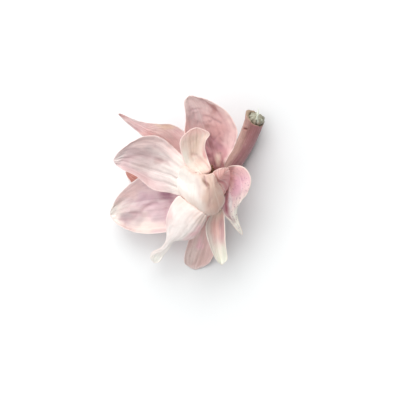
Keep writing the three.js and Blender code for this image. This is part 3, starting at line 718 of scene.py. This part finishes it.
def set_uv(piece, name, places):
    """Stores a UV map from one place for each vertex."""
    layer = piece.data.uv_layers.new(name=name)
    corners = np.zeros(len(piece.data.loops), np.int32)
    piece.data.loops.foreach_get("vertex_index", corners)
    layer.data.foreach_set("uv", np.asarray(places, np.float32)[corners].ravel())


def dress(piece, node):
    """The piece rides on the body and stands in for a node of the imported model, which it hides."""
    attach(piece, BODY)
    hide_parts(node)


def build_tepal(name, form):
    """One tepal: its inner face, its outer face and the rounded rim between them."""
    blade = Blade(form)
    height, crease_shade = relief_of(name, blade)
    blade.places = middle = blade.places + blade.normals() * height[..., None]
    normals = blade.normals()
    u = np.broadcast_to(blade.u, height.shape)
    v = np.broadcast_to(blade.v[:, None], height.shape)
    thickness = THICKNESS_MIDDLE + (THICKNESS_EDGE - THICKNESS_MIDDLE) * np.abs(u) ** THICKNESS_POWER
    half = normals * thickness[..., None] / 2

    size = height.size
    grid = np.arange(size).reshape(height.shape)
    rim = np.concatenate([grid[0, :-1], grid[:-1, -1], grid[-1, :0:-1], grid[:0:-1, 0]])
    flat_middle = middle.reshape(-1, 3)
    following = flat_middle[np.roll(rim, -1)] - flat_middle[np.roll(rim, 1)]
    outward = unit(np.cross(following, normals.reshape(-1, 3)[rim]))
    bulge = flat_middle[rim] + outward * RIM_BULGE
    vertices = np.vstack([(middle + half).reshape(-1, 3), (middle - half).reshape(-1, 3), bulge])

    a, b = grid[:-1, :-1].ravel(), grid[:-1, 1:].ravel()
    c, d = grid[1:, 1:].ravel(), grid[1:, :-1].ravel()
    bulge_index = 2 * size + np.arange(len(rim))
    next_bulge, next_rim = np.roll(bulge_index, -1), np.roll(rim, -1)
    faces = [
        np.stack([a, b, c, d], 1),
        np.stack([d, c, b, a], 1) + size,
        np.stack([next_rim, rim, bulge_index, next_bulge], 1),
        np.stack([next_bulge, bulge_index, rim + size, next_rim + size], 1),
    ]
    face_materials = np.concatenate([np.full(len(group), number % 2) for number, group in enumerate(faces)])

    looks = {"outer": PLAIN_OUTER, **form}
    materials = [petal_skin(f"{name}_{face}", looks[face]) for face in ("inner", "outer")]
    piece = new_mesh_object(f"{name}_bloom", vertices, np.vstack(faces), materials, face_materials)
    places = np.stack([(u.ravel() + 1) / 2, v.ravel()], 1)
    set_uv(piece, "Blade", np.vstack([places, places, places[rim]]))
    for attribute, values in (("Edge", blade.edge_distance()), ("CreaseShade", crease_shade)):
        flat = values.ravel()
        set_attribute(piece, attribute, np.concatenate([flat, flat, flat[rim]]))
    dress(piece, name)


# ---- Stem, wood, pistil column and stamens ----


def path_frames(path, facing):
    """The direction along a path at each place, with one over it and one across it that do not twist."""
    along = unit(np.gradient(np.asarray(path, float), axis=0))
    over = [np.asarray(facing, float)]
    for direction in along[::-1]:
        over.append(unit(over[-1] - direction * (over[-1] @ direction)))
    over = np.array(over[:0:-1])
    return along, over, np.cross(along, over)


class Bundle:
    """Tubes gathered into one mesh, each vertex with its share round its tube and its share along it."""

    def __init__(self):
        self.vertices = []
        self.faces = []
        self.shares = []

    def add_tube(self, path, facing, half_widths, half_depths, sides, shares=(0, 1)):
        """An oval tube along a path. Its narrower side faces the way that is given."""
        _, over, across = path_frames(path, facing)
        depths = over * np.asarray(half_depths)[:, None]
        widths = across * np.asarray(half_widths)[:, None]
        around = round_directions(depths[:, None], widths[:, None], ring_angles(sides))
        self.add_rings(path[:, None] + around, shares)

    def add_rings(self, rings, shares=(0, 1)):
        """A tube through rings of places, with a fan to one more vertex at each end."""
        count, sides = rings.shape[:2]
        first = sum(len(group) for group in self.vertices)
        self.vertices.append(np.vstack([rings.reshape(-1, 3), rings[0].mean(0), rings[-1].mean(0)]))
        index = np.arange(count * sides).reshape(count, sides) + first
        following = np.roll(index, -1, axis=1)
        quads = np.stack([index[:-1], following[:-1], following[1:], index[1:]], -1).reshape(-1, 4)
        start, end = first + count * sides, first + count * sides + 1
        self.faces += quads.tolist()
        self.faces += [(start, b, a) for a, b in zip(index[0], following[0])]
        self.faces += [(end, a, b) for a, b in zip(index[-1], following[-1])]
        around, along = np.meshgrid(np.arange(sides) / sides, np.linspace(*shares, count))
        ends = [(0.5, shares[0]), (0.5, shares[1])]
        self.shares.append(np.vstack([np.stack([around.ravel(), along.ravel()], 1), ends]))

    def build(self, node, material):
        """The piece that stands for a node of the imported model."""
        piece = new_mesh_object(f"{node}_bloom", np.vstack(self.vertices), self.faces, [material])
        set_uv(piece, "Grain", np.vstack(self.shares))
        dress(piece, node)
        return piece


def stem_path():
    """The middle of the stem and its radius at each ring, from the flower to the cut end."""
    shares = np.linspace(0, 1, STEM_RINGS + 1)
    route = np.array(STEM_ROUTE)
    radii = STEM_RADIUS * np.interp(shares, np.linspace(0, 1, len(route)), route[:, 3])
    return catmull_rom(route[:, :3], shares), radii


def build_bark():
    """The bark: long ridges, ring scars, lenticels, a bud scar, and a torn lip round the wood."""
    path, radii = stem_path()
    lengths = lengths_along(path)[:, None]
    to_cut = lengths[-1] - lengths
    along, over, across = path_frames(path, UP)
    angles = ring_angles(STEM_SIDES)
    degrees = np.degrees(angles)
    sideways = round_directions(over[:, None], across[:, None], angles)

    def field(across_scale, along_scale, seed, height):
        around = np.stack([np.cos(angles), np.sin(angles)], -1) * across_scale
        around = np.broadcast_to(around, (len(path), *around.shape))
        down = np.broadcast_to(to_cut * along_scale + seed, around.shape[:2])
        return noise_at(np.concatenate([around, down[..., None]], -1), 2) * height

    relief = BARK_RIDGE.height * hump(degrees - BARK_RIDGE.angle, BARK_RIDGE.width)
    relief = relief + sum(field(*layer) for layer in BARK_UNEVENNESS)
    wander = field(*RING_WANDER)
    for distance, height in RING_SCARS:
        relief += height * hump(to_cut - distance + wander, RING_HALF_WIDTH)
    places = path[:, None] + sideways * (radii[:, None] + relief)[..., None]

    scar = hump(np.linalg.norm(places - BUD_SCAR.at, axis=2), BUD_SCAR.radius)
    slit_ends = np.array([BUD_SLIT.start, BUD_SLIT.end])
    slit = hump(distance_to_segment(places, *slit_ends), BUD_SLIT.width)
    pale = np.zeros(slit.shape)
    draw = np.random.default_rng(LENTICELS.seed)
    for _ in range(LENTICELS.count):
        at = draw.uniform(LENTICELS.off_flower, lengths[-1, 0] - LENTICELS.off_cut)
        angle = draw.uniform(-LENTICELS.spread, LENTICELS.spread)
        sidestep = np.radians(degrees - angle) * STEM_RADIUS / LENTICELS.width
        pale = np.maximum(pale, hump(np.hypot(sidestep, (lengths - at) / LENTICELS.length), 1))
    turn = (degrees - BARK_LIP.angle + 180) % 360 - 180
    swell = scar * BUD_SCAR.height - slit * BUD_SLIT.depth + pale * LENTICELS.height
    near_lip = smooth_step(1 - to_cut / BARK_LIP.swell_from)
    swell += BARK_LIP.swell * hump(turn, BARK_LIP.swell_width) * near_lip
    torn = BARK_LIP.reach * hump(turn, BARK_LIP.width) + field(*BARK_LIP.tear)
    torn *= smooth_step(1 - to_cut / BARK_LIP.stretch_from)
    places += sideways * swell[..., None] + along[:, None] * torn[..., None]

    wall = BARK_LIP.wall + (BARK_LIP.thickest - BARK_LIP.wall) * hump(turn, BARK_LIP.thick_width)
    inwards = sideways[-1] * wall[:, None]
    onwards = along[-1] * BARK_LIP.depth
    rim = [places[-1] - inwards * inward + onwards * onward for inward, onward in LIP_SECTION]
    bundle = Bundle()
    bundle.add_rings(np.concatenate([places, rim]))
    piece = bundle.build("stem_bark", bark_skin())
    none = np.zeros((len(rim), STEM_SIDES))
    marks = {"Pore": (pale, none), "Scar": (scar, none), "Slit": (slit, none), "Cut": (0 * pale, none + 1)}
    for name, (shares, rim_shares) in marks.items():
        values = np.vstack([shares, rim_shares])
        set_attribute(piece, name, [*values.ravel(), 0, values[-1, 0]])


def build_wood():
    """The broken wood: a ribbed dome with fibres, and one long splinter across it."""
    path, _ = stem_path()
    along, over, across = (directions[-1] for directions in path_frames(path, UP))
    angles = ring_angles(WOOD_SIDES)
    around = np.stack([np.cos(angles), np.sin(angles), 0 * angles], -1)
    fibres = noise_at(around * WOOD_FIBRES.scale, 3)
    ribs = np.cos(WOOD_RIBS.count * angles + WOOD_RIBS.sway * np.sin(angles * 2))
    rings = []
    for distance, radius, rib in catmull_rom(WOOD_RINGS, np.linspace(0, 1, WOOD_STEPS)):
        radii = radius * (1 + rib * ribs + WOOD_FIBRES.height * fibres)
        ahead = distance + fibres * rib * WOOD_FIBRES.reach
        middle = path[-1] + WOOD_OFFSET + along * ahead[:, None]
        rings.append(middle + round_directions(over, across, angles) * radii[:, None])
    bundle = Bundle()
    bundle.add_rings(np.array(rings), DOME_SHARES)
    steps, wave = SPLINTER_MESH.steps, SPLINTER_MESH.wave
    splinter = catmull_rom(SPLINTER, np.linspace(0, 1, steps))
    widths = splinter[:, 3] * (1 + wave * np.sin(np.linspace(0, SPLINTER_MESH.waves, steps)))
    depths = widths * SPLINTER_MESH.flat
    bundle.add_tube(splinter[:, :3], UP, widths, depths, SPLINTER_MESH.sides, SPLINTER_SHARES)
    bundle.build("stem_wood", wood_skin())


def column_path(shares):
    """Places on the middle of the receptacle and the column, from the foot to the top."""
    shoulder = RECEPTACLE_FOOT + RECEPTACLE_LEAN * RECEPTACLE_LENGTH
    middle = (RECEPTACLE_FOOT + shoulder) / 2
    return catmull_rom([RECEPTACLE_FOOT, middle, shoulder, (shoulder + COLUMN_TOP) / 2, COLUMN_TOP], shares)


def column_frame(share):
    """A place on the column's middle, the direction up it, two directions across it and its radius there."""
    below, place, above = column_path(np.array([share - 0.01, share, share + 0.01]))
    along = unit(above - below)
    across = unit(np.cross(along, UP))
    return place, along, across, np.cross(across, along), np.interp(share, *zip(*COLUMN_RADII))


def build_pistil():
    """The receptacle and column with its spiral of carpels, each with a curled style."""
    shares = np.linspace(0, 1, COLUMN_RINGS)
    radii = np.interp(shares, *zip(*COLUMN_RADII))
    bundle = Bundle()
    bundle.add_tube(column_path(shares), UP, radii, radii, COLUMN_SIDES)
    steps = np.linspace(0, 1, CARPELS.steps)
    for number in range(CARPELS.count):
        share = CARPELS.lowest + (CARPELS.highest - CARPELS.lowest) * number / CARPELS.count
        place, along, across, back, radius = column_frame(share)
        outward = round_directions(across, back, math.radians(number * GOLDEN_ANGLE))
        shorter = CARPELS.uneven * (1 - math.sin(number * CARPELS.uneven_step))
        length = CARPELS.length * (1 - shorter)
        rise = np.sin(steps * CARPELS.bow) * length * CARPELS.rise
        lean = radius - CARPELS.sunk + CARPELS.lean * steps + CARPELS.curl * steps**3
        style = place + outward * lean[:, None] + along * rise[:, None]
        width = CARPELS.radius * (1 - steps ** CARPELS.taper) ** 0.5 + CARPELS.tip
        bundle.add_tube(style, outward, width, width * CARPELS.flat, THIN_SIDES)
    bundle.build("pistil_column", pistil_skin())


def build_stamens():
    """A low collar with rows of strap-like stamens that close round the column."""
    place, along, across, back, _ = column_frame(COLLAR.share)
    draw = np.random.default_rng(STAMENS.seed)
    bundle = Bundle()
    around = round_directions(across, back, ring_angles(COLLAR.sides))
    inner, outer = COLLAR.inner, COLLAR.outer
    outline = [(inner, 0), (outer, 0), (outer, COLLAR.outer_rise), (inner, 1)]
    rings = [place + around * radius + along * COLLAR.height * rise for radius, rise in outline]
    bundle.add_rings(np.array(rings))
    steps = np.linspace(0, 1, STAMENS.steps)
    arch = np.sin(steps * math.pi)
    swell = STAMENS.waist + (1 - STAMENS.waist) * arch
    width = STAMENS.half_width * swell * (1 - steps**6) ** 0.5 + STAMENS.rounding[0]
    depth = STAMENS.half_depth * (1 - steps**8) ** 0.5 + STAMENS.rounding[1]
    for row in range(STAMENS.rows):
        start = inner + (outer - inner) * (row + 0.5) / STAMENS.rows
        for index in range(STAMENS.per_row):
            off_place = draw.uniform(-STAMENS.off_place, STAMENS.off_place)
            azimuth = (index + row / 2 + off_place) / STAMENS.per_row * math.tau
            length = draw.uniform(STAMENS.shortest, STAMENS.longest)
            spread = STAMENS.spread * (row - 1) + draw.uniform(*STAMENS.spread_by)
            outward = round_directions(across, back, azimuth)
            reach = start + spread * steps**2 + arch * draw.uniform(*STAMENS.bow)
            strap = place + outward * reach[:, None] + along * (STAMENS.foot + steps * length)[:, None]
            bundle.add_tube(strap, outward, width, depth, THIN_SIDES)
    bundle.build("stamen_ring", stamen_skin())


# ---- Materials ----


def colour(code):
    """A colour code as linear red, green and blue, and full cover."""
    parts = [int(code[start : start + 2], 16) / 255 for start in (0, 2, 4)]
    linear = [part / 12.92 if part <= 0.04045 else ((part + 0.055) / 1.055) ** 2.4 for part in parts]
    return (*linear, 1)


class Skin:
    """A material whose base colour is laid down in layers, each over the ones before it."""

    def __init__(self, name):
        self.material = bpy.data.materials.new(name)
        self.material.use_nodes = True
        self.tree = self.material.node_tree
        self.surface = self.tree.nodes["Principled BSDF"]
        self.base = None

    def fill(self, node, inputs):
        """Gives inputs of a node, by name or number, a value or another node's output."""
        for key, value in dict(inputs).items():
            if isinstance(value, bpy.types.NodeSocket):
                self.tree.links.new(value, node.inputs[key])
            else:
                node.inputs[key].default_value = value

    def node(self, kind, inputs=(), **settings):
        """The outputs of a new shader node."""
        node = self.tree.nodes.new("ShaderNode" + kind)
        for name, value in settings.items():
            setattr(node, name, value)
        self.fill(node, inputs)
        return node.outputs

    def math(self, operation, *values):
        return self.node("Math", enumerate(values), operation=operation)[0]

    def vector(self, operation, *values):
        return self.node("VectorMath", enumerate(values), operation=operation)[0]

    def noise(self, place, scale, detail=2, roughness=0.5):
        inputs = {"Vector": place, "Scale": scale, "Detail": detail, "Roughness": roughness}
        return self.node("TexNoise", inputs)

    def ease(self, value, from_low, from_high, to_low=0, to_high=1):
        """A value eased from one range to another."""
        inputs = enumerate((value, from_low, from_high, to_low, to_high))
        return self.node("MapRange", inputs, interpolation_type="SMOOTHSTEP")[0]

    def attribute(self, name):
        return self.node("Attribute", attribute_name=name)["Fac"]

    def places(self, uv_map):
        """The places on a surface by its UV map, and in space."""
        return self.node("UVMap", uv_map=uv_map)[0], self.node("TexCoord")["Object"]

    def parts(self, place):
        """The parts of a place, or of a UV map's shares, along each axis."""
        return self.node("SeparateXYZ", {0: place})

    def start(self, share, stops):
        """The first layer: colours along a share that runs from 0 to 1."""
        outputs = self.node("ValToRGB", {0: share})
        elements = outputs[0].node.color_ramp.elements
        elements.remove(elements[-1])
        (_, first), *others = cells(stops)
        elements[0].color = colour(first)
        for position, code in others:
            elements.new(hundredths(position)).color = colour(code)
        self.base = outputs["Color"]

    def lay(self, code, share, strength=1):
        """Lays a colour over the base where the share is high."""
        inputs = {0: self.math("MULTIPLY", share, strength), 6: self.base, 7: colour(code)}
        self.base = self.node("Mix", inputs, data_type="RGBA")[2]

    def lay_from(self, code, value, none, full, strength):
        """Lays a colour over the base: none of it at one value, easing to its strength at another."""
        self.lay(code, self.ease(value, none, full), strength)

    def wash(self, place, u, v, reach_u, reach_v, strength):
        """How strongly a soft patch covers each place."""
        inputs = {"Vector": place, "Location": ((u + 1) / 2, v, 0), "Scale": (reach_u / 2, reach_v, 1)}
        local = self.node("Mapping", inputs, vector_type="TEXTURE")[0]
        cover = self.node("TexGradient", {0: local}, gradient_type="SPHERICAL")[1]
        return self.ease(cover, 0, 0.75, 0, strength)

    def drift(self, place, scale, detail, reach):
        """A slow wandering, added to places so that colours don't part along straight lines."""
        cloud = self.noise(place, scale, detail)["Color"]
        return self.vector("MULTIPLY", self.vector("SUBTRACT", cloud, (0.5, 0.5, 0.5)), reach)

    def streaks(self, place, scale, shift, detail=2, roughness=0.5):
        """Noise at places stretched by a scale on each axis, so that it runs one way."""
        stretched = self.vector("MULTIPLY", place, scale)
        moved = self.vector("ADD", stretched, (shift, shift * 0.7, shift * 0.4))
        return self.noise(moved, 1, detail, roughness)[0]

    def thin_lines(self, place, scale, shift, width):
        """Thin wandering lines, 1 along their middles."""
        height = self.streaks(place, scale, shift, 2, 0.55)
        distance = self.math("ABSOLUTE", self.math("SUBTRACT", height, 0.5))
        return self.ease(distance, 0, width, 1, 0)

    def finish(self, height, bump_mm, bump_strength, inputs):
        """Gives the surface its colour, its bumps and its other inputs."""
        bump = self.node("Bump", {"Strength": bump_strength, "Distance": bump_mm * MM, "Height": height})[0]
        self.fill(self.surface, {"Base Color": self.base, "Normal": bump, **inputs})
        return self.material


def petal_skin(name, face):
    """A tepal's face: colours along it, washes with some painted shade and highlight, mottling, streaks,
    veins, painted shade in its creases, and its edge, a paler margin with a painted highlight.
    """
    skin = Skin(name)
    blade, place = skin.places("Blade")
    seed = sum(map(ord, name)) * SKIN_SEED
    drift = skin.drift(place, DRIFT_SCALE, 1.5, PETAL.wander)
    drifted = skin.vector("ADD", blade, drift)
    along = skin.parts(drifted)[1]
    skin.start(along, face["along"])
    # Washes: soft patches of colour, some of them painted shade or painted highlight.
    for code, *patch in cells(face["washes"]) if "washes" in face else ():
        skin.lay(code, skin.wash(drifted, *map(hundredths, patch)))

    veined, mottled, (edge_code, edge_width, edge_strength) = cells(face["marks"])
    blotches = skin.ease(skin.noise(place, MOTTLE_SCALE, 4, 0.6)[0], *PETAL.mottling)
    skin.lay(mottled[0], blotches, hundredths(mottled[1]))
    if "speckles" in face:
        skin.lay_from(face["speckles"], skin.noise(place, SPECKLE_SCALE, 1)[0], *PETAL.speckles)

    vein_code, vein_strength = veined[0], hundredths(veined[1])
    wandering = skin.vector("ADD", blade, skin.vector("MULTIPLY", drift, PETAL.vein_wander))
    streaks = skin.streaks(wandering, PETAL.streaks, seed)
    skin.lay_from(vein_code, streaks, *PETAL.dark_streaks, vein_strength * 0.8)
    skin.lay_from("fff6f1", streaks, *PETAL.light_streaks)
    veins = skin.thin_lines(wandering, PETAL.veins, seed + 3, PETAL.vein_width)
    skin.lay(vein_code, veins, vein_strength * 0.9)
    # Painted shade in the creases.
    skin.lay(CREASE_SHADE_COLOUR, skin.attribute("CreaseShade"), PETAL.creases)

    # The pale edge: a paler margin and a painted highlight where the rim catches the light.
    at_edge = skin.ease(skin.attribute("Edge"), 0, float(edge_width), hundredths(edge_strength), 0)
    if "edge_from" in face:
        full = hundredths(face["edge_from"])
        at_edge = skin.math("MULTIPLY", at_edge, skin.ease(along, full - PETAL.edge_fade, full))
    skin.lay(edge_code, at_edge)

    grain = skin.noise(place, GRAIN_SCALE)[0]
    height = skin.math("ADD", skin.math("MULTIPLY", veins, -0.9), skin.math("MULTIPLY", streaks, 2.2))
    inputs = {"Roughness": skin.ease(blotches, 0, 1, *PETAL.roughness), **PETAL_SURFACE}
    return skin.finish(skin.math("ADD", height, grain), PETAL.bump_mm, PETAL.bump_strength, inputs)


def bark_skin():
    """Smooth young bark: taupe on the left of its ridge and rosy brown on the right, finely streaked."""
    skin = Skin("bark_skin")
    grain, place = skin.places("Grain")
    drifted = skin.vector("ADD", grain, skin.drift(place, 160, 3, (0.07, 0, 0)))
    around, along, _ = skin.parts(drifted)
    skin.start(around, BARK_COLOURS)
    rosy_end = skin.ease(along, 0.7, 0.92, 0, 0.5)
    skin.lay("ba7a7c", rosy_end, skin.ease(around, 0.4, 0.55, 0.3, 1))
    streaks = skin.streaks(grain, (34, 2.6, 1), 4, 4, 0.65)
    skin.lay_from("8a605c", streaks, 0.5, 0.72, 0.42)
    skin.lay_from("cfaea4", streaks, 0.48, 0.28, 0.38)
    skin.lay_from("c09aa0", skin.noise(place, 330, 4, 0.6)[0], 0.5, 0.72, 0.35)
    fine_lines = skin.thin_lines(grain, (90, 5, 1), 9, 0.03)
    skin.lay("6f4a48", fine_lines, 0.35)
    for name, (code, strength) in BARK_MARKS.items():
        skin.lay(code, skin.attribute(name), strength)
    height = skin.math("SUBTRACT", streaks, skin.math("MULTIPLY", fine_lines, 0.4))
    return skin.finish(height, 0.25, 0.5, {"Roughness": 0.55, "Specular IOR Level": 0.4})


def grain_skin(name, colours):
    """A skin with colours from foot to tip, its places by its grain and its places in space."""
    skin = Skin(name)
    grain, place = skin.places("Grain")
    skin.start(skin.parts(grain)[1], colours)
    return skin, grain, place


def wood_skin():
    """Pale wood with dark and pale fibres that run to the tip, and dark at its foot."""
    skin, grain, place = grain_skin("wood_skin", WOOD_COLOURS)
    fibres = skin.streaks(grain, (46, 2.2, 1), 2, 3, 0.6)
    skin.lay_from("5f5a4a", fibres, 0.52, 0.7, 0.7)
    skin.lay_from("e2eadb", fibres, 0.46, 0.3, 0.6)
    skin.lay_from("dfe2d2", skin.noise(place, 420, 3)[0], 0.55, 0.75, 0.4)
    return skin.finish(fibres, 0.3, 0.6, {"Roughness": 0.6})


def pistil_skin():
    """Olive carpels with rosy brown styles, darkened with painted shade for the depth they lie at."""
    skin, _, place = grain_skin("pistil_skin", PISTIL_COLOURS)
    blotches = skin.noise(place, SPECKLE_SCALE, 3)[0]
    skin.lay_from("6d5b3c", blotches, 0.48, 0.7, 0.45)
    return skin.finish(blotches, 0.1, 0.4, {"Roughness": 0.55})


def stamen_skin():
    """Cream stamens that turn rosy towards their tips."""
    skin, grain, _ = grain_skin("stamen_skin", STAMEN_COLOURS)
    lines = skin.thin_lines(grain, (8, 1.5, 1), 0, 0.05)
    skin.lay("a5606c", lines, 0.3)
    return skin.finish(lines, 0.08, 0.5, {"Roughness": 0.55})


# ---- Setting: floor, light and camera ----


def build_floor():
    """A pale floor, a hair below the surface that the bloom lies on."""
    mesh = bpy.data.meshes.new("floor")
    corners = [(x * FLOOR_HALF, y * FLOOR_HALF, -FLOOR_DROP) for x, y in ((-1, -1), (1, -1), (1, 1), (-1, 1))]
    mesh.from_pydata(corners, [], [(0, 1, 2, 3)])
    paper = Skin("floor_paper")
    paper.fill(paper.surface, {"Base Color": FLOOR_COLOUR, "Roughness": 1, "Specular IOR Level": 0})
    mesh.materials.append(paper.material)
    floor = add_object("floor", mesh)


def build_light():
    """A broad soft light from behind the bloom, one from its left, and even light from all round."""
    world = bpy.data.worlds.new("studio")
    bpy.context.scene.world = world
    world.use_nodes = True
    background = world.node_tree.nodes["Background"]
    background.inputs["Color"].default_value = (1, 1, 1, 1)
    background.inputs["Strength"].default_value = SKY_STRENGTH
    for name, (from_direction, angle_degrees, strength) in SUNS.items():
        light = bpy.data.lights.new(name, "SUN")
        light.angle = math.radians(angle_degrees)
        light.energy = strength
        lamp = add_object(name, light)
        lamp.rotation_euler = Vector(from_direction).to_track_quat("Z", "Y").to_euler()
    bpy.context.scene.view_settings.view_transform = "Standard"


def build_camera():
    """The camera, straight above."""
    camera = bpy.data.cameras.new("camera")
    camera.sensor_width = SENSOR
    camera.lens = SENSOR * (CAMERA_AT[2] - FRAME_HEIGHT_ABOVE) / FRAME_WIDTH
    camera.clip_start, camera.clip_end = CAMERA_CLIP
    eye = add_object("camera", camera)
    eye.location = [value * MM for value in CAMERA_AT]
    bpy.context.scene.camera = eye


# ---- The scene ----

build_camera()
build_light()
build_floor()
for tepal_name, tepal_form in TEPALS.items():
    build_tepal(tepal_name, tepal_form)
build_bark()
build_wood()
build_pistil()
build_stamens()
